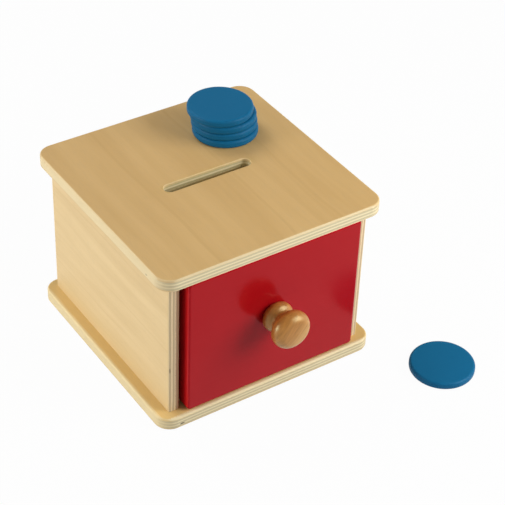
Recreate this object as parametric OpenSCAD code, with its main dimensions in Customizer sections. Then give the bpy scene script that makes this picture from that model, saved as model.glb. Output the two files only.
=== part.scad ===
// Coin drawer box: a plywood box with a slot in its top, a drawer under it and five wooden coins.
// The origin is the middle of the base board's underside. The drawer's front faces -Y.

/* [Boards] */
// Width of the top and base boards, left to right
board_w = 165; // [150:1:220]
// Depth of the top and base boards, front to back
board_d = 165; // [150:1:220]
// Thickness of the top and base boards
board_t = 9; // [8:0.5:15]
// Radius of the boards' corners, seen from above
corner_r = 11; // [3:0.5:16]
// Round-over along the boards' edges
edge_r = 1.3; // [0.5:0.1:2]

/* [Walls] */
// Height of the walls between the boards
wall_h = 104; // [90:1:140]
// Thickness of the side walls and the back wall
wall_t = 8; // [7:0.5:12]
// Distance from the boards' ends to the side walls' outer faces
side_inset = 8.5; // [5:0.5:14]
// Distance from the boards' front edges to the side walls' front edges
front_inset = 7.7; // [5:0.1:9]
// Distance from the boards' rear edges to the walls' rear faces
rear_inset = 6; // [3:0.5:12]
// Rounding of the walls' upright edges
wall_edge_r = 1.6; // [0.3:0.1:2]

/* [Coins] */
// Diameter of a coin
coin_d = 44.5; // [36:0.5:52]
// Thickness of a coin
coin_t = 5.5; // [4:0.5:8]
// Rounding of a coin's rim
coin_rim_r = 1.9; // [0.5:0.1:2.5]
// Distance from the top board's right edge to the lowest coin's rim
stack_from_right = 22.8; // [10:0.1:30]
// Distance from the top board's rear edge to the lowest coin's rim
stack_from_rear = 22.5; // [10:0.1:30]
// Shift of each stacked coin to the right, lowest coin first
stack_shift_x = [0, -0.4, -1.3, -3.5]; // [-8:0.1:8]
// Shift of each stacked coin to the rear, lowest coin first
stack_shift_y = [0, 0.8, 0.7, 1.3]; // [-8:0.1:8]
// Distance from the base board's right edge to the loose coin's rim
loose_from_right = 4.7; // [1:0.1:40]
// Distance from the base board's front edge to the loose coin's rim
loose_from_front = 20.0; // [1:0.1:60]

/* [Slot] */
// Play of a coin along the slot
slot_play_l = 20.5; // [4:0.5:30]
// Play of a coin across the slot
slot_play_w = 3; // [1:0.1:5]
// Rounding of the slot's upper edge
slot_edge_r = 0.6; // [0.3:0.1:1.5]

/* [Drawer front] */
// Thickness of the drawer's front
front_t = 12; // [10:0.5:18]
// Thickness that the front keeps in front of the sides' tongues
front_lip = 7; // [5:0.5:8]
// Distance from the boards' front edges back to the front's face
front_setback = 1.7; // [0:0.1:3]
// Gap between the front and the left wall
left_gap = 2.6; // [0.3:0.1:3]
// Gap between the front and the right wall
right_gap = 0.4; // [0.3:0.1:3]
// Gap between the front and the base board
under_gap = 0.9; // [0.5:0.1:3]
// Gap between the front and the top board
over_gap = 0.8; // [0.5:0.1:3]
// Radius of the front's corners
front_corner_r = 2.5; // [2.2:0.1:6]
// Round-over along the front's outer edges
front_edge_r = 1.5; // [0.5:0.1:2]

/* [Drawer box] */
// Height of the drawer's sides and back
box_h = 85; // [60:1:86]
// Thickness of the drawer's sides and back
box_t = 6; // [5:0.5:9]
// Thickness of the drawer's bottom
bottom_t = 4; // [3:0.5:6]
// Height of the bottom above the sides' lower edges
bottom_rise = 4; // [3:0.5:8]
// Depth of the grooves that hold the bottom
groove_depth = 3; // [1.5:0.1:3.5]
// Gap between the closed drawer and the back wall
stop_gap = 0.3; // [0.1:0.1:2]
// Rounding of the sides' and back's upper edges
box_edge_r = 1; // [0.3:0.1:2]

/* [Knob] */
// Length of the knob
knob_len = 25.5; // [23:0.5:32]
// Diameter of the knob's foot
knob_foot_d = 21.4; // [20:0.1:26]
// Thickness of the knob's foot
knob_foot_t = 9; // [5:0.5:10]
// Diameter of the knob's waist
knob_waist_d = 15.2; // [11:0.1:17]
// Diameter of the knob's head
knob_head_d = 26.8; // [26:0.1:36]
// Thickness of the rounded rim of the knob's head
knob_rim_t = 12.6; // [10:0.1:12.8]
// Height of the dome in front of that rim
knob_dome = 0.5; // [0.3:0.1:3]
// Distance of the knob to the left of the middle of the drawer's front
knob_left = 1; // [-10:0.1:10]
// Height of the knob above the middle of the drawer's front
knob_rise = 3; // [-10:0.1:10]

/* [Fasteners] */
// Diameter of the dowels in the top
dowel_d = 4; // [3:0.5:5]
// Depth of the dowels in the top board
dowel_up = 5; // [3:0.5:6]
// Depth of the dowels in the walls
dowel_down = 10; // [6:0.5:20]
// Diameter of the base screws
screw_d = 3.5; // [3:0.1:4.5]
// Length of the base screws
screw_l = 30; // [22:1:40]
// Head diameter of the base screws
screw_head_d = 7; // [6:0.1:8]
// Depth of the base screws' heads below the underside
screw_recess = 0.4; // [0.2:0.1:1]
// Distance from a wall's end to its first fastener
fixing_margin = 16; // [12:1:30]
// Diameter of the knob screw
knob_screw_d = 4; // [3.5:0.1:5]
// Depth of the knob screw in the knob
knob_screw_depth = 14; // [8:0.5:17]
// Head diameter of the knob screw
knob_screw_head_d = 8; // [7.5:0.1:10]
// Head thickness of the knob screw
knob_screw_head_t = 2.4; // [2:0.1:4]
// Diameter of the brads
brad_d = 1.4; // [1:0.1:1.8]
// Length of the brads
brad_l = 18; // [12:1:25]
// Head diameter of the brads
brad_head_d = 2.4; // [2:0.1:2.8]
// Head thickness of the brads
brad_head_t = 0.7; // [0.4:0.1:1.2]
// Distance from the bottom and from the sides' upper edges to the outer brads
brad_margin = 12; // [6:1:20]

/* [Hidden] */
$fn = 96;

// Play left for glue around a dowel, a brad, a screw, a tongue or a bottom in its groove
fit_play = 0.1;
// Length by which a cut runs past the face that it starts from
past = 1;
// Least height of the straight band on a coin's rim
coin_band = 0.4;
// Diameter of a screw's blunt tip
tip_d = 0.4;

wood_colour = "burlywood";
lacquer_colour = "peru";
red_colour = "firebrick";
blue_colour = "steelblue";
steel_colour = "silver";

// Levels
top_z = board_t + wall_h;
lid_z = top_z + board_t;

// Carcase
side_x = board_w / 2 - side_inset - wall_t / 2;
inner_w = 2 * side_x - wall_t;
wall_front_y = -board_d / 2 + front_inset;
wall_rear_y = board_d / 2 - rear_inset;
wall_len = wall_rear_y - wall_front_y;
back_y = wall_rear_y - wall_t / 2;

// Places of the fasteners that hold the boards to the walls
side_fixing_y = [
    for (k = [0:2]) wall_front_y + fixing_margin + k * (wall_len - 2 * fixing_margin) / 2
];
back_fixing_x = [for (side = [-1, 1]) side * (inner_w / 2 - 2 * fixing_margin)];
fixing_places = concat(
    [for (side = [-1, 1]) for (y = side_fixing_y) [side * side_x, y]],
    [for (x = back_fixing_x) [x, back_y]]
);

// Slot
slot_l = coin_d + slot_play_l;
slot_w = coin_t + slot_play_w;
slot_straight = slot_l - slot_w;

// Drawer
front_w = inner_w - left_gap - right_gap;
drawer_x = (left_gap - right_gap) / 2;
front_y = -board_d / 2 + front_setback;
front_rear_y = front_y + front_t;
front_z = board_t + under_gap;
front_h = wall_h - under_gap - over_gap;
front_mid_z = front_z + front_h / 2;
box_rear_y = wall_rear_y - wall_t - stop_gap;
box_inner_w = front_w - 2 * box_t;
box_top_z = board_t + box_h;
groove_z = board_t + bottom_rise;
floor_z = groove_z + bottom_t;
box_back_y = box_rear_y - box_t / 2;

// Tongues on the inner half of the drawer's sides, let into the front
tongue_t = box_t / 2;
tongue_x = (box_inner_w + tongue_t) / 2;
tongue_y = front_y + front_lip;

// Brads along the drawer's rear corners, and under its back
brad_z = [for (k = [0:2]) floor_z + brad_margin + k * (box_top_z - floor_z - 2 * brad_margin) / 2];
under_brad_x = [for (side = [-1, 1]) side * (box_inner_w / 2 - 2 * brad_margin)];

// Knob: arcs of its half outline, with x from the axis and y from the drawer's face
knob_x = drawer_x - knob_left;
knob_z = front_mid_z + knob_rise;
knob_foot_r = knob_foot_t / 2;
knob_foot_x = knob_foot_d / 2 - knob_foot_r;
knob_rim_r = knob_rim_t / 2;
knob_rim_x = knob_head_d / 2 - knob_rim_r;
knob_rim_y = knob_len - knob_rim_r - knob_dome;
// The waist's arc touches the foot's and the rim's arcs. Its depth below each, their distance along
// the axis and what their thicknesses add give the height of its centre above the foot's
foot_over = (knob_foot_d - knob_waist_d) / 2;
rim_over = (knob_head_d - knob_waist_d) / 2;
arcs_apart = knob_rim_y - knob_foot_r;
uneven = knob_foot_t - foot_over - knob_rim_t + rim_over;
waist_root = sqrt(foot_over * rim_over * (arcs_apart ^ 2 + (rim_over - foot_over) * uneven));
waist_up = foot_over * (arcs_apart ^ 2 + rim_over * uneven) / (foot_over * arcs_apart + waist_root);
waist_r = (waist_up ^ 2 / foot_over + foot_over - knob_foot_t) / 2;
waist_x = knob_waist_d / 2 + waist_r;
waist_y = knob_foot_r + waist_up;
// The cap's arc ends on the axis and meets the rim's arc smoothly
cap_r = knob_rim_r + (knob_rim_x ^ 2 + knob_dome ^ 2) / (2 * knob_dome);
cap_y = knob_len - cap_r;

// Coins
coin_rim = min(coin_rim_r, (coin_t - coin_band) / 2);
stack_x = board_w / 2 - stack_from_right - coin_d / 2;
stack_y = board_d / 2 - stack_from_rear - coin_d / 2;
loose_x = board_w / 2 + loose_from_right + coin_d / 2;
loose_y = -board_d / 2 - loose_from_front - coin_d / 2;

// Rectangle with round corners, about its middle
module round_rectangle(w, d, r) {
    square([w - 2 * r, d], center = true);
    square([w, d - 2 * r], center = true);
    for (x = [-1, 1], y = [-1, 1])
        translate([x * (w / 2 - r), y * (d / 2 - r)]) circle(r);
}

// Upright plank section on its lower edge, with its upper edges rounded
module plank_section(t, h, r) {
    translate([-t / 2, 0]) square([t, h - r]);
    translate([-t / 2 + r, 0]) square([t - 2 * r, h]);
    for (x = [-1, 1]) translate([x * (t / 2 - r), h - r]) circle(r);
}

// What a round-over takes off a square edge, from the arc's centre outwards
module round_over_section(r) {
    difference() {
        square(r + past);
        circle(r);
    }
}

// Round-over along the upper edges of a board, at the height of its arcs' centres
module round_over_ring(w, d, corner, r) {
    for (k = [0:3]) {
        across = (k % 2 == 0) ? w : d;
        along = (k % 2 == 0) ? d : w;
        rotate(90 * k) {
            translate([across / 2 - r, 0, 0])
                rotate([90, 0, 0]) linear_extrude(along - 2 * corner, center = true) round_over_section(r);
            translate([across / 2 - corner, along / 2 - corner, 0])
                rotate_extrude(angle = 90) translate([corner - r, 0]) round_over_section(r);
        }
    }
}

// Board with round corners, lying on its lower face, with its upper edges rounded
module eased_board(w, d, t, corner, r) {
    difference() {
        linear_extrude(t) round_rectangle(w, d, corner);
        translate([0, 0, t - r]) round_over_ring(w, d, corner, r);
    }
}

// Top or base board, with its upper and lower edges rounded
module plain_board() {
    difference() {
        eased_board(board_w, board_d, board_t, corner_r, edge_r);
        translate([0, 0, edge_r]) mirror([0, 0, 1]) round_over_ring(board_w, board_d, corner_r, edge_r);
    }
}

// Cut for a coin: a slot with round ends
module slot_cut() {
    translate([0, 0, top_z - past]) linear_extrude(board_t + 2 * past) {
        square([slot_straight, slot_w], center = true);
        for (side = [-1, 1]) translate([side * slot_straight / 2, 0]) circle(d = slot_w);
    }
    translate([0, 0, lid_z - slot_edge_r]) slot_round_over();
}

// Round-over along the slot's upper edge, at the height of its arcs' centres
module slot_round_over() {
    arc_at = slot_w / 2 + slot_edge_r;
    for (turn = [0, 180]) rotate(turn) {
        translate([0, arc_at, 0]) rotate([90, 0, 90])
            linear_extrude(slot_straight, center = true) rotate(90) round_over_section(slot_edge_r);
        translate([slot_straight / 2, 0, 0]) rotate(-90)
            rotate_extrude(angle = 180) translate([arc_at, 0]) rotate(90) round_over_section(slot_edge_r);
    }
}

// Hole for a dowel, half in the top board and half in a wall
module dowel_hole() {
    translate([0, 0, top_z - dowel_down - fit_play])
        cylinder(d = dowel_d + 2 * fit_play, h = dowel_down + dowel_up + 2 * fit_play);
}

// Cross recess in a screw's head, downwards from the origin
module cross_recess(head_d) {
    span = head_d * 2 / 3;
    groove = head_d / 8;
    depth = head_d / 6;
    for (turn = [0, 90]) rotate(turn) translate([-span / 2, -groove / 2, -depth])
        cube([span, groove, depth + past]);
}

// Countersunk screw with its head down, from the underside of its head, grown by play
module countersunk_screw(play) {
    head_t = (screw_head_d - screw_d) / 2;
    tip_l = screw_d;
    grown = 2 * play;
    cylinder(d1 = screw_head_d + grown, d2 = screw_d + grown, h = head_t);
    cylinder(d = screw_d + grown, h = screw_l - tip_l);
    translate([0, 0, screw_l - tip_l]) cylinder(d1 = screw_d + grown, d2 = tip_d + grown, h = tip_l + play);
}

// Base screw's hole, open to the underside
module screw_hole() {
    translate([0, 0, screw_recess]) countersunk_screw(fit_play);
    translate([0, 0, -past]) cylinder(d = screw_head_d + 2 * fit_play, h = screw_recess + past);
}

// Brad along +Z with its head's face at the origin, grown by play
module brad(play) {
    cylinder(d = brad_head_d + 2 * play, h = brad_head_t + play);
    cylinder(d = brad_d + 2 * play, h = brad_l + play);
}

// Brad hole, open at its head
module brad_hole() {
    brad(fit_play / 2);
    translate([0, 0, -past]) cylinder(d = brad_head_d + fit_play, h = past + brad_head_t);
}

// Places of the brads at the drawer's rear corners: one side's children point inwards along X
module at_side_brads(side) {
    for (z = brad_z)
        translate([drawer_x + side * front_w / 2, box_back_y, z]) rotate([0, -side * 90, 0]) children();
}

// Places of the brads under the drawer's back
module at_under_brads() {
    for (x = under_brad_x) translate([drawer_x + x, box_back_y, groove_z]) children();
}

// Frame on the drawer's face at the knob, with +Z outwards
module at_knob() {
    translate([knob_x, front_y, knob_z]) rotate([90, 0, 0]) children();
}

// Hole for the knob screw, open to the inside of the drawer
module knob_screw_hole() {
    at_knob() translate([0, 0, -front_t - past])
        cylinder(d = knob_screw_d + 2 * fit_play, h = past + front_t + knob_screw_depth + fit_play);
}

// Groove for the drawer's bottom, from start_y out through the drawer's rear
module bottom_groove(start_y) {
    groove_w = box_inner_w + 2 * groove_depth;
    translate([drawer_x - groove_w / 2, start_y, groove_z - fit_play])
        cube([groove_w, box_rear_y + past - start_y, bottom_t + 2 * fit_play]);
}

// Groove in the front's rear face for the tongue of one of the drawer's sides
module tongue_groove(side) {
    groove_w = tongue_t + 2 * fit_play;
    groove_y = tongue_y - fit_play;
    translate([drawer_x + side * tongue_x - groove_w / 2, groove_y, front_z - past])
        cube([groove_w, front_rear_y + past - groove_y, box_top_z + fit_play - front_z + past]);
}

// Cut that leaves only the tongue on the front end of one of the drawer's sides
module shoulder_cut(side) {
    cut_w = box_t;
    cut_x = tongue_x + (tongue_t + cut_w) / 2;
    translate([drawer_x + side * cut_x - cut_w / 2, tongue_y - past, board_t - past])
        cube([cut_w, front_rear_y - tongue_y + past, box_h + 2 * past]);
}

// Top board with the slot and the blind holes of its dowels
module top_board() {
    color(wood_colour) difference() {
        translate([0, 0, top_z]) plain_board();
        slot_cut();
        for (place = fixing_places) translate(place) dowel_hole();
    }
}

// Base board with countersunk screw holes
module base_board() {
    color(wood_colour) difference() {
        plain_board();
        for (place = fixing_places) translate(place) screw_hole();
    }
}

// Side wall, drilled at both ends for its dowels and screws
module side_wall(side) {
    color(wood_colour) difference() {
        translate([side * side_x, (wall_front_y + wall_rear_y) / 2, board_t])
            linear_extrude(wall_h) round_rectangle(wall_t, wall_len, wall_edge_r);
        for (y = side_fixing_y) translate([side * side_x, y]) {
            dowel_hole();
            screw_hole();
        }
    }
}

module left_wall() {
    side_wall(-1);
}

module right_wall() {
    side_wall(1);
}

// Back wall between the side walls
module back_wall() {
    color(wood_colour) difference() {
        translate([-inner_w / 2, back_y - wall_t / 2, board_t]) cube([inner_w, wall_t, wall_h]);
        for (x = back_fixing_x) translate([x, back_y]) {
            dowel_hole();
            screw_hole();
        }
    }
}

// Dowels between the walls and the top board
module top_dowels() {
    color(wood_colour) for (place = fixing_places)
        translate([place.x, place.y, top_z - dowel_down]) cylinder(d = dowel_d, h = dowel_down + dowel_up);
}

// Wood screws through the base board into the walls
module base_screws() {
    color(steel_colour) for (place = fixing_places)
        translate([place.x, place.y, screw_recess]) difference() {
            countersunk_screw(0);
            mirror([0, 0, 1]) cross_recess(screw_head_d);
        }
}

// Painted front, grooved in its rear face for the drawer's sides and its bottom
module drawer_front() {
    color(red_colour) difference() {
        translate([drawer_x, front_rear_y, front_mid_z]) rotate([90, 0, 0])
            eased_board(front_w, front_h, front_t, front_corner_r, front_edge_r);
        for (side = [-1, 1]) tongue_groove(side);
        bottom_groove(front_rear_y - groove_depth);
        knob_screw_hole();
    }
}

// Drawer's side, standing on the base board, with its lower edge as the runner
module drawer_side(side) {
    color(wood_colour) difference() {
        translate([drawer_x + side * (front_w - box_t) / 2, box_rear_y, board_t]) rotate([90, 0, 0])
            linear_extrude(box_rear_y - tongue_y) plank_section(box_t, box_h, box_edge_r);
        shoulder_cut(side);
        bottom_groove(tongue_y - past);
        at_side_brads(side) brad_hole();
    }
}

module drawer_left_side() {
    drawer_side(-1);
}

module drawer_right_side() {
    drawer_side(1);
}

// Drawer's back, between the sides and on the bottom
module drawer_back() {
    color(wood_colour) difference() {
        translate([drawer_x - box_inner_w / 2, box_back_y, floor_z + fit_play]) rotate([90, 0, 90])
            linear_extrude(box_inner_w) plank_section(box_t, box_top_z - floor_z - fit_play, box_edge_r);
        for (side = [-1, 1]) at_side_brads(side) brad_hole();
        at_under_brads() brad_hole();
    }
}

// Drawer's bottom, in the grooves and under the back
module drawer_bottom() {
    bottom_w = box_inner_w + 2 * groove_depth - 2 * fit_play;
    bottom_y = front_rear_y - groove_depth + fit_play;
    color(wood_colour) difference() {
        translate([drawer_x - bottom_w / 2, bottom_y, groove_z])
            cube([bottom_w, box_rear_y - bottom_y, bottom_t]);
        at_under_brads() brad_hole();
    }
}

// Brads through the drawer's sides and bottom
module drawer_brads() {
    color(steel_colour) {
        for (side = [-1, 1]) at_side_brads(side) brad(0);
        at_under_brads() brad(0);
    }
}

// Turned knob with a pilot hole for its screw
module drawer_knob() {
    color(lacquer_colour) difference() {
        at_knob() rotate_extrude() knob_outline();
        knob_screw_hole();
    }
}

// Half outline of the knob: foot, hollowed waist, rim of the head and cap
module knob_outline() {
    // Scale of the line from the cap's centre through the rim's centre, to just past the cap
    reach = (cap_r + past) / (cap_r - knob_rim_r);
    square([knob_foot_x, knob_foot_t]);
    translate([knob_foot_x, knob_foot_r]) circle(knob_foot_r);
    difference() {
        polygon([
            [0, knob_foot_r],
            [knob_foot_x, knob_foot_r],
            [waist_x, waist_y],
            [knob_rim_x, knob_rim_y],
            [0, knob_rim_y]
        ]);
        translate([waist_x, waist_y]) circle(waist_r);
    }
    translate([knob_rim_x, knob_rim_y]) circle(knob_rim_r);
    intersection() {
        translate([0, cap_y]) circle(cap_r);
        polygon([
            [0, knob_rim_y - past],
            [knob_rim_x, knob_rim_y],
            [knob_rim_x * reach, cap_y + (knob_rim_y - cap_y) * reach],
            [0, knob_len + past]
        ]);
    }
}

// Screw that holds the knob, with its head inside the drawer
module knob_screw() {
    head_z = -front_t - knob_screw_head_t;
    color(steel_colour) at_knob() difference() {
        union() {
            translate([0, 0, -front_t]) cylinder(d = knob_screw_d, h = front_t + knob_screw_depth);
            translate([0, 0, head_z]) cylinder(d = knob_screw_head_d, h = knob_screw_head_t);
        }
        translate([0, 0, head_z]) mirror([0, 0, 1]) cross_recess(knob_screw_head_d);
    }
}

// Coin lying flat on the origin, with a round rim
module coin() {
    color(blue_colour) rotate_extrude() {
        square([coin_d / 2 - coin_rim, coin_t]);
        translate([0, coin_rim]) square([coin_d / 2, coin_t - 2 * coin_rim]);
        for (y = [coin_rim, coin_t - coin_rim]) translate([coin_d / 2 - coin_rim, y]) circle(coin_rim);
    }
}

// One coin of the stack, counted from the lowest
module stacked_coin(number) {
    below = number - 1;
    x = stack_x + stack_shift_x[below];
    y = stack_y + stack_shift_y[below];
    translate([x, y, lid_z + below * coin_t]) coin();
}

module loose_coin() {
    translate([loose_x, loose_y, 0]) coin();
}

top_board();
base_board();
left_wall();
right_wall();
back_wall();
top_dowels();
base_screws();
drawer_front();
drawer_left_side();
drawer_right_side();
drawer_back();
drawer_bottom();
drawer_brads();
drawer_knob();
knob_screw();
stacked_coin(1);  // coin_1
stacked_coin(2);  // coin_2
stacked_coin(3);  // coin_3
stacked_coin(4);  // coin_4
loose_coin();
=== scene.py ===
"""Looks of the coin drawer box: its materials, plain studio light and the photograph's camera.

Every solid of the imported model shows, and this script gives each one its plywood, paint, lacquer,
bare wood or steel. Lengths are in metres in the model's frame: origin in the middle of the base's
underside, front towards -Y, Z up. Inside the materials, sizes are in millimetres.
"""
import math
from typing import NamedTuple

import bmesh
import bpy
from mathutils import Matrix, Vector


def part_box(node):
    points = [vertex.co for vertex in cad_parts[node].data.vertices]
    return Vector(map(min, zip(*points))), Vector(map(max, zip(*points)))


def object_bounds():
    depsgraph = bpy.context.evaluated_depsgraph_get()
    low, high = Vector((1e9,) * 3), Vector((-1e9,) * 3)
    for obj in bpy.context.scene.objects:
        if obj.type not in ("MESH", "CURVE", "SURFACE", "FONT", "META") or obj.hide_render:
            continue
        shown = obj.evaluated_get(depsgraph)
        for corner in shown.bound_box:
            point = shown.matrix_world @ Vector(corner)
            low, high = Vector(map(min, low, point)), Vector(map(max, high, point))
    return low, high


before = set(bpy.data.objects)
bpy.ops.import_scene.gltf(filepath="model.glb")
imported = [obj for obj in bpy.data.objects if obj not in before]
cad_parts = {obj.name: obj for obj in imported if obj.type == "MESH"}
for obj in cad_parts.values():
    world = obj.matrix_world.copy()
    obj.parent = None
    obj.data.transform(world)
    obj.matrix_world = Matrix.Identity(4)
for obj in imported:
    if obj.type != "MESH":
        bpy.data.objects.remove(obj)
cad_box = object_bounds()

X, Y, Z = 0, 1, 2
LOWER, UPPER = 0, 1
MM_PER_M = 1000.0
WHITE = (1.0, 1.0, 1.0, 1.0)


class Stock(NamedTuple):
    """Plywood as a board is cut from it."""
    edges: dict  # colours of the cut plies
    plies: int
    outer_ply: float  # what sanding has left of the ply at the left, the front or the bottom, in mm


class Patch(NamedTuple):
    """An oval patch of another colour in plywood: a void, a scorched cut, a sanded edge, painted shade or
    painted light.
    """
    centre: Vector  # in the model's frame, in mm
    half_sizes: tuple  # in mm
    strength: float
    colour: tuple


# Wood colours, as linear reflectance
TOP_VENEER = {"light": (0.69, 0.455, 0.188), "dark": (0.565, 0.345, 0.122)}
BASE_VENEER = {"light": (0.76, 0.525, 0.202), "dark": (0.68, 0.455, 0.158)}
WALL_VENEER = {"light": (0.84, 0.64, 0.342), "dark": (0.67, 0.470, 0.212)}
DRAWER_VENEER = {"light": (0.76, 0.56, 0.290), "dark": (0.66, 0.460, 0.210)}
BOARD_EDGE = {"pale": (0.87, 0.765, 0.490), "cross": (0.63, 0.540, 0.330)}
WALL_EDGE = {"pale": (0.86, 0.700, 0.430), "cross": (0.57, 0.440, 0.260)}
GLUE_LINE = (0.40, 0.31, 0.180)
# Painted shade for the inner side of the left wall's front edge, beside the gap
INNER_EDGE_SHADE = (0.35, 0.170, 0.100)
VOID = (0.055, 0.032, 0.016)
# The darker of the two slot colours is painted shade, laid towards the bottom of the slot
SCORCH_AND_SHADE = {"light": (0.40, 0.31, 0.005), "slot_shade": (0.33, 0.15, 0.003)}

# Paint, lacquer, bare wood and steel
# The sides colours are painted light and shade: lighter on the drawer front's ends, darker on the coins'
# rims
RED = {"paint": (0.38, 0.004, 0.007), "sides": (0.48, 0.006, 0.009), "worn_and_seam_shade": (0.46, 0.020, 0.024)}
# The blue's darker edge colour is painted shade of the seams between stacked coins; the red's paler one is
# wear
BLUE = {"paint": (0.006, 0.130, 0.270), "sides": (0.005, 0.120, 0.258), "worn_and_seam_shade": (0.004, 0.085, 0.185)}
# The third wood colour is painted light, laid on the right side of the knob and the dowels
KNOB_WOOD = {"light": (0.56, 0.236, 0.048), "dark": (0.27, 0.084, 0.008), "painted_light_side": (0.61, 0.33, 0.108)}
DOWEL_WOOD = {"light": (0.66, 0.440, 0.240), "dark": (0.52, 0.310, 0.150), "painted_light_side": (0.70, 0.490, 0.280)}
STEEL = {"light": (0.62, 0.610, 0.600), "dark": (0.44, 0.430, 0.420)}

# Thickness of a ply inside a board, in mm
CORE_PLY = 1.2

# Plywood of the boards
BOARD_STOCK = Stock(edges=BOARD_EDGE, plies=7, outer_ply=1.5)
LEFT_WALL_STOCK = Stock(edges=WALL_EDGE, plies=7, outer_ply=0.5)
WALL_STOCK = Stock(edges=WALL_EDGE, plies=7, outer_ply=1.0)
DRAWER_STOCK = Stock(edges=WALL_EDGE, plies=5, outer_ply=1.2)
BOTTOM_STOCK = Stock(edges=WALL_EDGE, plies=3, outer_ply=1.4)


def corner_of(node):
    """A node's left, front and lower corner, in mm."""
    return Vector(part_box(node)[LOWER]) * MM_PER_M


def middle_of(node):
    """A node's middle, in mm."""
    low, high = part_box(node)
    return (Vector(low) + Vector(high)) / 2 * MM_PER_M


class Shader:
    """A material's node tree, built one node at a time."""

    def __init__(self, name):
        self.material = bpy.data.materials.new(name)
        self.material.use_nodes = True
        self.tree = self.material.node_tree
        self.tree.nodes.clear()

    def add(self, kind, inputs, **settings):
        """A new node. inputs gives each socket a plain value or another node's output."""
        node = self.tree.nodes.new("ShaderNode" + kind)
        for name, value in settings.items():
            setattr(node, name, value)
        for socket, value in inputs.items():
            if isinstance(value, bpy.types.NodeSocket):
                self.tree.links.new(value, node.inputs[socket])
            else:
                node.inputs[socket].default_value = value
        return node

    def math(self, operation, *values):
        """A number from other numbers."""
        return self.add("Math", dict(enumerate(values)), operation=operation).outputs[0]

    def vectors(self, operation, *values):
        """A vector from other vectors."""
        return self.add("VectorMath", dict(enumerate(values)), operation=operation).outputs["Vector"]

    def measure(self, operation, *values):
        """A number from vectors, such as a length."""
        return self.add("VectorMath", dict(enumerate(values)), operation=operation).outputs["Value"]

    def total(self, *weighted):
        """Sum of value times weight, over pairs of the two."""
        result = 0.0
        for value, weight in weighted:
            result = self.math("MULTIPLY_ADD", value, weight, result)
        return result

    def ramp(self, value, start, end):
        """0 up to start and 1 from end on, smooth between; start may be above end."""
        inputs = {"Value": value, "From Min": start, "From Max": end}
        return self.add("MapRange", inputs, interpolation_type="SMOOTHSTEP").outputs[0]

    def pick(self, factor, first, second):
        """The first number at factor 0, the second at 1."""
        return self.add("Mix", {0: factor, 2: first, 3: second}).outputs[0]

    def tint(self, factor, first, second):
        """The first colour at factor 0, the second at 1."""
        colours = [colour if isinstance(colour, bpy.types.NodeSocket) else (*colour, 1.0)
                   for colour in (first, second)]
        return self.add("Mix", {0: factor, 6: colours[0], 7: colours[1]}, data_type="RGBA").outputs[2]

    def wash(self, colour, mask, strength, over):
        """The colour, with another one laid over it where the mask is 1."""
        return self.tint(self.math("MULTIPLY", mask, strength), colour, over)

    def vector(self, x, y, z):
        return self.add("CombineXYZ", {0: x, 1: y, 2: z}).outputs[0]

    def split(self, vector):
        return list(self.add("SeparateXYZ", {0: vector}).outputs)

    def place(self):
        """The point's place in the model's frame, in mm."""
        coordinates = self.add("TexCoord", {}).outputs["Object"]
        return self.add("VectorMath", {0: coordinates, "Scale": MM_PER_M}, operation="SCALE").outputs[0]

    def facing(self):
        """How far the surface faces along X, Y and Z, each from 0 to 1."""
        normal = self.add("TexCoord", {}).outputs["Normal"]
        return self.split(self.vectors("ABSOLUTE", normal))

    def noise(self, place, sizes, detail=2.0, roughness=0.5):
        """Noise whose blotches are about these sizes in mm, spread to fill 0 to 1."""
        usual_low, usual_high = 0.28, 0.72
        scaled = self.vectors("DIVIDE", place, sizes)
        inputs = {"Vector": scaled, "Scale": 1.0, "Detail": detail, "Roughness": roughness}
        fac = self.add("TexNoise", inputs).outputs["Fac"]
        spread = {"Value": fac, "From Min": usual_low, "From Max": usual_high}
        return self.add("MapRange", spread).outputs[0]

    def surface(self, colour, roughness, relief, relief_mm, plain):
        """Closes the tree with a Principled shader. plain values go straight onto its sockets."""
        bump = self.add("Bump", {"Height": relief, "Distance": relief_mm / MM_PER_M})
        inputs = {"Base Color": colour, "Roughness": roughness, "Normal": bump.outputs[0]}
        shader = self.add("BsdfPrincipled", {**plain, **inputs})
        self.add("OutputMaterial", {"Surface": shader.outputs[0]})
        return self.material


# Wood. A place in wood is given along, across and through the grain, in mm

def wavy(shader, wood, wave_sizes, sway):
    """A place in wood whose grain sways to one side by up to sway mm."""
    along, across, through = shader.split(wood)
    across = shader.math("MULTIPLY_ADD", shader.noise(wood, wave_sizes), sway, across)
    return shader.vector(along, across, through)


def figure(shader, wood):
    """Figure of plain wood, from broad bands down to pores."""
    wood = wavy(shader, wood, wave_sizes=(150, 45, 45), sway=7.0)
    return {
        "bands": shader.noise(wood, (520, 22, 22), detail=3),
        "mottle": shader.noise(wood, (70, 9, 9), detail=4),
        "streaks": shader.noise(wood, (240, 2.6, 2.6), detail=3),
        "fibres": shader.noise(wood, (32, 0.5, 0.5)),
        "lines": shader.ramp(shader.noise(wood, (700, 4, 4), detail=1), 0.80, 0.97),
        "pores": shader.ramp(shader.noise(wood, (6, 0.24, 0.24), detail=0), 0.86, 1.0),
    }


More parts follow.
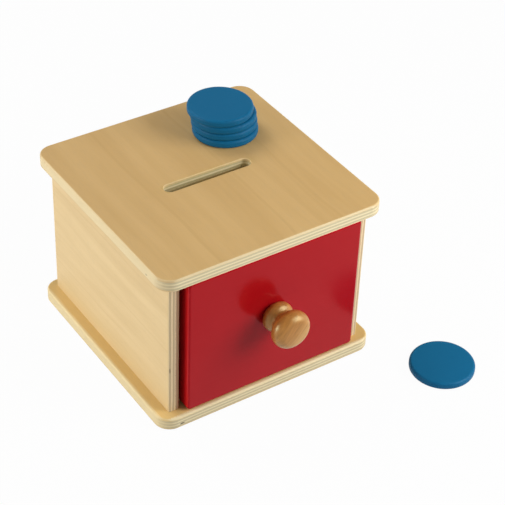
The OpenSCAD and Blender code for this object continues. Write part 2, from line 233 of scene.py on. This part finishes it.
def layers(shader, place, depth, stock):
    """Which ply of a board a point lies in. depth is in mm from the side of the first ply.

    crosswise is 1 in every second ply, glue is 1 at the lines between plies, and outer is 1 in the first
    and the last ply. The lines wander by a share of a ply.
    """
    wander = 0.24
    half_ply = 0.5
    glue_from = 0.38
    within_board = 0.4
    softness = 0.1
    core = stock.plies / 2
    outer_from = core - 1.0
    wobble = shader.noise(place, (28, 28, 28))
    at_side = 1.0 - wander / 2 - stock.outer_ply / CORE_PLY
    level = shader.total((depth, 1 / CORE_PLY), (wobble, wander), (1.0, at_side))
    level = shader.math("MAXIMUM", level, within_board)
    level = shader.math("MINIMUM", level, stock.plies - within_board)
    ply = shader.math("FLOOR", level)
    from_middle = shader.math("ABSOLUTE", shader.total((level, 1.0), (ply, -1.0), (1.0, -half_ply)))
    from_core = shader.math("ABSOLUTE", shader.math("SUBTRACT", level, core))
    return {
        "ply": ply,
        "crosswise": shader.math("MODULO", ply, 2.0),
        "glue": shader.ramp(from_middle, glue_from, half_ply),
        "outer": shader.ramp(from_core, outer_from - softness, outer_from + softness),
    }


def veneer_face(shader, look, veneer):
    """Colour of a board's face."""
    tone = shader.total(
        (look["bands"], 0.48), (look["mottle"], 0.32),
        (look["streaks"], 0.11), (look["fibres"], 0.09),
    )
    face = shader.tint(tone, veneer["dark"], veneer["light"])
    face = shader.wash(face, look["lines"], 0.35, veneer["dark"])
    return shader.wash(face, look["pores"], 0.14, GLUE_LINE)


def cut_plies(shader, look, layer, faces_along, faces_across, veneer, edges):
    """Colour of a board's cut edge, which faces along or across the face veneer's grain.

    Cross plies are darker where the edge shows them lengthwise. The outer plies and the long edges are
    nearer to the veneer's colour.
    """
    lengthwise = shader.math("MULTIPLY", layer["crosswise"], faces_along)
    edge = shader.tint(lengthwise, edges["pale"], edges["cross"])
    edge = shader.wash(edge, look["fibres"], 0.30, edges["cross"])
    edge = shader.wash(edge, faces_across, 0.36, veneer["light"])
    edge = shader.wash(edge, layer["outer"], 0.65, veneer["light"])
    return shader.wash(edge, layer["glue"], 0.16, GLUE_LINE)


def mark_patches(shader, colour, place, fibres, patches):
    """Lays each patch over the colour, with an outline that the fibres fray."""
    fray = 0.5
    outside, inside = 1.25, 0.85
    for patch in patches:
        offset = shader.vectors("SUBTRACT", place, patch.centre)
        reach = shader.measure("LENGTH", shader.vectors("DIVIDE", offset, patch.half_sizes))
        frayed = shader.math("MULTIPLY_ADD", fibres, fray, reach)
        colour = shader.wash(colour, shader.ramp(frayed, outside, inside), patch.strength, patch.colour)
    return colour


def plywood(name, node, grain, veneer, stock, patches=()):
    """Plywood board: veneer on its two faces, its plies on its edges.

    grain is the axis along which the face veneer's fibres run.
    """
    low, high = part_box(node)
    sizes = [high[axis] - low[axis] for axis in (X, Y, Z)]
    through = sizes.index(min(sizes))
    across = X + Y + Z - grain - through

    shader = Shader(name)
    place = shader.place()
    axes = shader.split(place)
    facing = shader.facing()
    depth = shader.math("SUBTRACT", axes[through], low[through] * MM_PER_M)
    layer = layers(shader, place, depth, stock)

    # The fibres turn by a right angle from ply to ply, and each ply is another stretch of wood
    next_stretch = 61.0
    along_fibre = shader.pick(layer["crosswise"], axes[grain], axes[across])
    along_fibre = shader.total((along_fibre, 1.0), (layer["ply"], next_stretch))
    across_fibre = shader.pick(layer["crosswise"], axes[across], axes[grain])
    look = figure(shader, shader.vector(along_fibre, across_fibre, depth))

    on_edge = shader.ramp(facing[through], 0.995, 0.88)
    face = veneer_face(shader, look, veneer)
    edge = cut_plies(shader, look, layer, facing[grain], facing[across], veneer, stock.edges)
    colour = mark_patches(shader, shader.tint(on_edge, face, edge), place, look["fibres"], patches)
    sunk_glue = shader.math("MULTIPLY", layer["glue"], on_edge)
    relief = shader.total((look["fibres"], 0.5), (look["pores"], -0.8), (sunk_glue, -0.6))
    roughness = shader.total((look["fibres"], 0.12), (on_edge, 0.12), (1.0, 0.42))
    return shader.surface(colour, roughness, relief, relief_mm=0.03, plain={"Specular IOR Level": 0.35})


def solid_wood(name, node, grain, wood_colours, roughness, plain):
    """Turned or planed solid wood, paler at its right: painted light, for the light that falls on that
    side.

    grain is the fibres' direction, square to Y. plain values go straight onto the shader's sockets.
    """
    forward = Vector(grain).normalized()
    sideways = forward.cross(Vector((0, 1, 0))).normalized()
    upward = forward.cross(sideways)

    shader = Shader(name)
    place = shader.vectors("SUBTRACT", shader.place(), middle_of(node))
    directions = (forward, sideways, upward)
    wood = shader.vector(*[shader.measure("DOT_PRODUCT", place, direction) for direction in directions])
    wood = wavy(shader, wood, wave_sizes=(40, 12, 12), sway=4.0)
    # Painted light: the right side is paler, for the light that falls on it
    painted_light_side = shader.ramp(shader.split(wood)[1], 6.0, -9.0)
    rings = shader.noise(wood, (26, 3.4, 5.0), detail=4)
    streaks = shader.ramp(shader.noise(wood, (14, 1.2, 1.8), detail=3), 0.60, 1.0)
    fibres = shader.noise(wood, (9, 0.3, 0.3))
    tone = shader.total((rings, 0.75), (fibres, 0.25))
    colour = shader.tint(tone, wood_colours["dark"], wood_colours["light"])
    colour = shader.wash(colour, painted_light_side, 0.80, wood_colours["painted_light_side"])
    colour = shader.wash(colour, streaks, 0.70, wood_colours["dark"])
    uneven_roughness = shader.total((fibres, 0.06), (1.0, roughness))
    relief = shader.total((fibres, 0.6), (streaks, -0.4))
    return shader.surface(colour, uneven_roughness, relief, relief_mm=0.012, plain=plain)


# Paint

def painted(name, colours, faces, grain, roughness, plain, round_edge):
    """Satin paint on wood: slight unevenness, and another colour where the edges are round: wear on the
    red front, painted shade of the seams between the stacked coins.

    faces is the axis that the two large faces look along; the sides between them take another colour,
    painted light on the red front's ends and painted shade on the coins' rims.
    grain is the axis of the wood's fibres, which show faintly in the film.
    round_edge(shader) gives a number that is 1 on flat faces and lower where the surface turns.
    """
    shader = Shader(name)
    place = shader.place()
    fibre_sizes = [1.1, 1.1, 1.1]
    fibre_sizes[grain] = 26.0
    fibres = shader.noise(place, fibre_sizes)
    peel = shader.noise(place, (1.4, 1.4, 1.4), detail=1)
    cloud = shader.noise(place, (34, 34, 34), detail=3)
    patchy = shader.noise(place, (5, 5, 5), detail=4, roughness=0.65)
    turn = shader.ramp(round_edge(shader), 0.985, 0.80)
    # On the red front the round edges are worn paler; on the coins they darken, painted shade of the seams
    # between coins
    worn_and_seam_shade = shader.math("MULTIPLY", turn, shader.ramp(patchy, 0.35, 0.95))
    thin_film_and_seam_shade = shader.total((cloud, 0.10), (fibres, 0.06), (worn_and_seam_shade, 0.60))
    # Painted light and shade: the sides turn a lighter red on the drawer front and a darker blue on the
    # coins
    sides_light_and_shade = shader.ramp(shader.facing()[faces], 0.9, 0.3)
    colour = shader.tint(sides_light_and_shade, colours["paint"], colours["sides"])
    colour = shader.tint(thin_film_and_seam_shade, colour, colours["worn_and_seam_shade"])
    uneven_roughness = shader.total((patchy, 0.05), (cloud, 0.04), (worn_and_seam_shade, 0.10), (1.0, roughness))
    relief = shader.total((peel, 0.5), (fibres, 0.5))
    return shader.surface(colour, uneven_roughness, relief, relief_mm=0.006, plain=plain)


def box_edges(shader):
    """1 where a box's face is flat, lower on its rounded edges."""
    along_x, along_y, along_z = shader.facing()
    return shader.math("MAXIMUM", shader.math("MAXIMUM", along_x, along_y), along_z)


def disc_edges(shader):
    """1 on a disc's faces and rim, lower where one rounds into the other."""
    along_x, along_y, along_z = shader.facing()
    squares = [shader.math("POWER", along, 2.0) for along in (along_x, along_y)]
    outward = shader.math("SQRT", shader.math("ADD", *squares))
    return shader.math("MAXIMUM", outward, along_z)


# Steel

def zinc_steel(name):
    """Zinc plated steel with fine scratches."""
    shader = Shader(name)
    place = shader.place()
    scratches = shader.noise(place, (3.0, 0.12, 0.12), detail=3)
    bloom = shader.noise(place, (2.2, 2.2, 2.2), detail=4, roughness=0.6)
    tone = shader.total((bloom, 0.7), (scratches, 0.3))
    colour = shader.tint(tone, STEEL["dark"], STEEL["light"])
    roughness = shader.total((bloom, 0.16), (scratches, 0.10), (1.0, 0.24))
    return shader.surface(colour, roughness, scratches, relief_mm=0.004, plain={"Metallic": 1.0})


# Flaws, painted shade and painted light on the boards that show, in mm

def edge_strip(node, sides, along, widths, strength, colour):
    """A strip of another colour along one edge of a board.

    sides says for X, Y and Z whether the edge is at the board's LOWER or UPPER end. along is the edge's
    own axis, and widths say how far the strip reaches across it.
    """
    beyond_the_ends = 200.0
    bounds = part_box(node)
    centre = Vector([bounds[side][axis] for axis, side in enumerate(sides)]) * MM_PER_M
    centre[along] = middle_of(node)[along]
    half_sizes = list(widths)
    half_sizes[along] = beyond_the_ends
    return Patch(centre, tuple(half_sizes), strength, colour)


def sanded_and_painted_light(node, along, height, face_width, strength):
    """Pale strip on a board's front or left edge, where sanding has thinned the veneer. Along the top
    board's lower front edge the strip is painted light, for the light its arris catches.
    """
    edge_width = 1.8
    widths = (face_width, face_width, edge_width)
    return edge_strip(node, (LOWER, LOWER, height), along, widths, strength, BOARD_EDGE["pale"])


def top_patches():
    """The scorched slot with one ply left pale and painted shade towards its bottom, a dash in the left
    edge, sanded edges, and painted light along the lower front edge.
    """
    slot = middle_of("top_board")
    dash = Patch(corner_of("top_board") + Vector((0.0, 19.9, 3.5)), (1.5, 1.6, 0.35), 0.70, VOID)
    scorch = Patch(slot + Vector((0.0, 0.0, -1.0)), (60, 9, 8), 0.29, SCORCH_AND_SHADE["light"])
    pale_ply = Patch(slot + Vector((0.0, 0.0, 1.2)), (60, 9, 1), 0.80, BOARD_EDGE["pale"])
    # Painted shade: the slot's walls darken towards the bottom, where the near edge shades them
    slot_painted_shade = Patch(slot + Vector((0.0, 0.0, -4.3)), (60, 8, 5), 0.62, SCORCH_AND_SHADE["slot_shade"])
    return [
        dash, scorch, pale_ply, slot_painted_shade,
        # Painted light: a pale strip along the lower front arris, for the light that catches it
        sanded_and_painted_light("top_board", X, LOWER, face_width=2.2, strength=0.90),
        sanded_and_painted_light("top_board", X, UPPER, face_width=0.8, strength=0.50),
        sanded_and_painted_light("top_board", Y, UPPER, face_width=0.8, strength=0.40),
    ]


def base_flaws():
    """A void in the front edge, and sanded edges."""
    void = corner_of("base_board") + Vector((14.1, 0.0, 3.2))
    return [
        Patch(void, (2.0, 1.5, 0.55), 1.0, VOID),
        sanded_and_painted_light("base_board", X, UPPER, face_width=3.0, strength=0.75),
        sanded_and_painted_light("base_board", Y, UPPER, face_width=2.8, strength=0.45),
    ]


def left_wall_patches():
    """A dark spot in the front edge, and painted shade along the ply at its inner side, next to the gap by
    the drawer front.
    """
    spot = corner_of("left_wall") + Vector((0.9, 0.0, 34.8))
    return [
        Patch(spot, (0.6, 1.2, 2.4), 0.50, VOID),
        # Painted shade: the inner ply of the front edge is darker beside the gap by the drawer front
        edge_strip("left_wall", (UPPER, LOWER, LOWER), Z, (3.6, 2.5, 0.0), 0.60, INNER_EDGE_SHADE),
    ]


# Which solid gets which finish

def dress(node, material):
    """Puts one material on a CAD node."""
    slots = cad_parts[node].data.materials
    slots.clear()
    slots.append(material)


def dress_boards():
    """Plywood, each board with the axis of its grain."""
    patches = {"top_board": top_patches(), "base_board": base_flaws(), "left_wall": left_wall_patches()}
    boards = [
        ("top_board", "ply_top", Y, TOP_VENEER, BOARD_STOCK),
        ("base_board", "ply_base", Y, BASE_VENEER, BOARD_STOCK),
        ("left_wall", "ply_left_wall", Y, WALL_VENEER, LEFT_WALL_STOCK),
        ("right_wall", "ply_right_wall", Y, WALL_VENEER, WALL_STOCK),
        ("back_wall", "ply_back_wall", X, WALL_VENEER, WALL_STOCK),
        ("drawer_left_side", "ply_drawer_left", Y, DRAWER_VENEER, DRAWER_STOCK),
        ("drawer_right_side", "ply_drawer_right", Y, DRAWER_VENEER, DRAWER_STOCK),
        ("drawer_back", "ply_drawer_back", X, DRAWER_VENEER, DRAWER_STOCK),
        ("drawer_bottom", "ply_drawer_bottom", X, DRAWER_VENEER, BOTTOM_STOCK),
    ]
    for node, name, grain, veneer, stock in boards:
        dress(node, plywood(name, node, grain, veneer, stock, patches.get(node, ())))


def dress_solid_wood():
    """The lacquered knob, whose grain slants, and the bare dowels."""
    slant = math.radians(50)
    knob_grain = (math.cos(slant), 0.0, math.sin(slant))
    lacquer = {"Specular IOR Level": 0.95, "Specular Tint": (1.0, 0.97, 0.55, 1.0)}
    knob = solid_wood("knob_lacquer", "drawer_knob", knob_grain, KNOB_WOOD, roughness=0.33, plain=lacquer)
    dowel = solid_wood("dowel_wood", "top_dowels", (0, 0, 1), DOWEL_WOOD, roughness=0.5, plain={})
    dress("drawer_knob", knob)
    dress("top_dowels", dowel)


def dress_paint():
    """The red drawer front and the blue coins."""
    red_gloss = {"Specular IOR Level": 0.44, "Specular Tint": (1.0, 0.0, 0.05, 1.0)}
    blue_gloss = {"Specular IOR Level": 0.11}
    red = painted("red_paint", RED, faces=Y, grain=X, roughness=0.13,
                  plain=red_gloss, round_edge=box_edges)
    blue = painted("blue_paint", BLUE, faces=Z, grain=X, roughness=0.40,
                   plain=blue_gloss, round_edge=disc_edges)
    dress("drawer_front", red)
    for node in ("coin_1", "coin_2", "coin_3", "coin_4", "loose_coin"):
        dress(node, blue)


def dress_steel():
    """Screws and brads."""
    dress("base_screws", zinc_steel("screw_steel"))
    dress("drawer_brads", zinc_steel("brad_steel"))
    dress("knob_screw", zinc_steel("knob_screw_steel"))


# Studio

def studio_white():
    """White that is seen as white, and still takes the object's shadow."""
    white_share = 0.97
    grey = (0.60, 0.60, 0.60, 1.0)
    shader = Shader("studio_white")
    path = shader.add("LightPath", {}).outputs
    seen = shader.math("MAXIMUM", path["Is Camera Ray"], path["Is Glossy Ray"])
    seen = shader.math("MAXIMUM", seen, path["Is Transmission Ray"])
    matt = shader.add("BsdfDiffuse", {"Color": grey})
    white = shader.add("Emission", {"Color": WHITE, "Strength": 1.0})
    share = shader.math("MULTIPLY", seen, white_share)
    mixed = shader.add("MixShader", {0: share, 1: matt.outputs[0], 2: white.outputs[0]})
    shader.add("OutputMaterial", {"Surface": mixed.outputs[0]})
    return shader.material


def make_floor():
    """A floor that sweeps up into a low round wall, so that every side view ends in white."""
    flat_radius = 2.4
    sweep_radius = 0.6
    wall_height = 1.3
    below = 0.00005  # keeps the floor clear of the base's underside
    sweep_steps = 12
    turns = 96
    weld = 1e-5
    profile = [(0.0, -below), (flat_radius, -below)]
    for step in range(1, sweep_steps + 1):
        angle = math.radians(90) * step / sweep_steps
        rise = sweep_radius * (1 - math.cos(angle))
        profile.append((flat_radius + sweep_radius * math.sin(angle), rise - below))
    profile.append((flat_radius + sweep_radius, wall_height))

    shape = bmesh.new()
    points = [shape.verts.new((radius, 0.0, height)) for radius, height in profile]
    lines = [shape.edges.new(pair) for pair in zip(points, points[1:])]
    bmesh.ops.spin(shape, geom=points + lines, cent=(0, 0, 0), axis=(0, 0, 1), angle=math.tau, steps=turns)
    bmesh.ops.remove_doubles(shape, verts=shape.verts, dist=weld)
    mesh = bpy.data.meshes.new("studio_floor")
    shape.to_mesh(mesh)
    shape.free()
    mesh.shade_smooth()
    floor = bpy.data.objects.new("studio_floor", mesh)
    bpy.context.collection.objects.link(floor)
    mesh.materials.append(studio_white())


def heading(azimuth, elevation):
    """Unit vector from the box towards a place round it; azimuth 0 is in front, 90 at the right."""
    around = math.radians(azimuth)
    above = math.radians(elevation)
    level = math.cos(above)
    return Vector((math.sin(around) * level, -math.cos(around) * level, math.sin(above)))


def softbox(name, azimuth, elevation, distance, size, power):
    """A square lamp that looks at the middle of the box."""
    lamp = bpy.data.lights.new(name, "AREA")
    lamp.size = size
    lamp.energy = power
    holder = bpy.data.objects.new(name, lamp)
    middle = (Vector(cad_box[LOWER]) + Vector(cad_box[UPPER])) / 2
    towards = heading(azimuth, elevation)
    holder.location = middle + towards * distance
    holder.rotation_euler = towards.to_track_quat("Z", "Y").to_euler()
    bpy.context.collection.objects.link(holder)


def light_studio():
    """Three softboxes, and an even light from all round."""
    softbox("key_softbox", azimuth=42, elevation=28, distance=0.80, size=0.55, power=6.5)
    softbox("left_softbox", azimuth=-103, elevation=9, distance=1.2, size=0.40, power=8.0)
    softbox("back_softbox", azimuth=-160, elevation=52, distance=1.2, size=0.60, power=5.2)
    even_light = 0.24
    world = bpy.data.worlds.new("studio_air")
    world.use_nodes = True
    background = world.node_tree.nodes["Background"]
    background.inputs["Color"].default_value = WHITE
    background.inputs["Strength"].default_value = even_light
    bpy.context.scene.world = world


# Camera

def make_camera():
    """The photograph's camera, from the fit of the box's edges to the picture."""
    picture_width = 505.0  # pixels
    focal_length = 1613.5  # pixels
    sensor = 36.0  # mm
    aim = Vector((0.02619, -0.01673, 0.05933))
    distance = 1.0800
    azimuth, elevation, roll = -34.82, 37.79, 2.39  # degrees

    back = heading(azimuth, elevation)
    right = Vector((0, 0, 1)).cross(back).normalized()
    up = back.cross(right)
    turn = math.radians(roll)
    tilted_right = right * math.cos(turn) + up * math.sin(turn)
    tilted_up = up * math.cos(turn) - right * math.sin(turn)

    data = bpy.data.cameras.new("photo_camera")
    data.sensor_width = sensor
    data.lens = sensor * focal_length / picture_width
    camera = bpy.data.objects.new("photo_camera", data)
    axes = Matrix((tilted_right, tilted_up, back)).transposed()
    camera.matrix_world = Matrix.Translation(aim + back * distance) @ axes.to_4x4()
    bpy.context.collection.objects.link(camera)
    bpy.context.scene.camera = camera


dress_boards()
dress_solid_wood()
dress_paint()
dress_steel()
make_floor()
light_studio()
make_camera()
bpy.context.scene.view_settings.view_transform = "Standard"
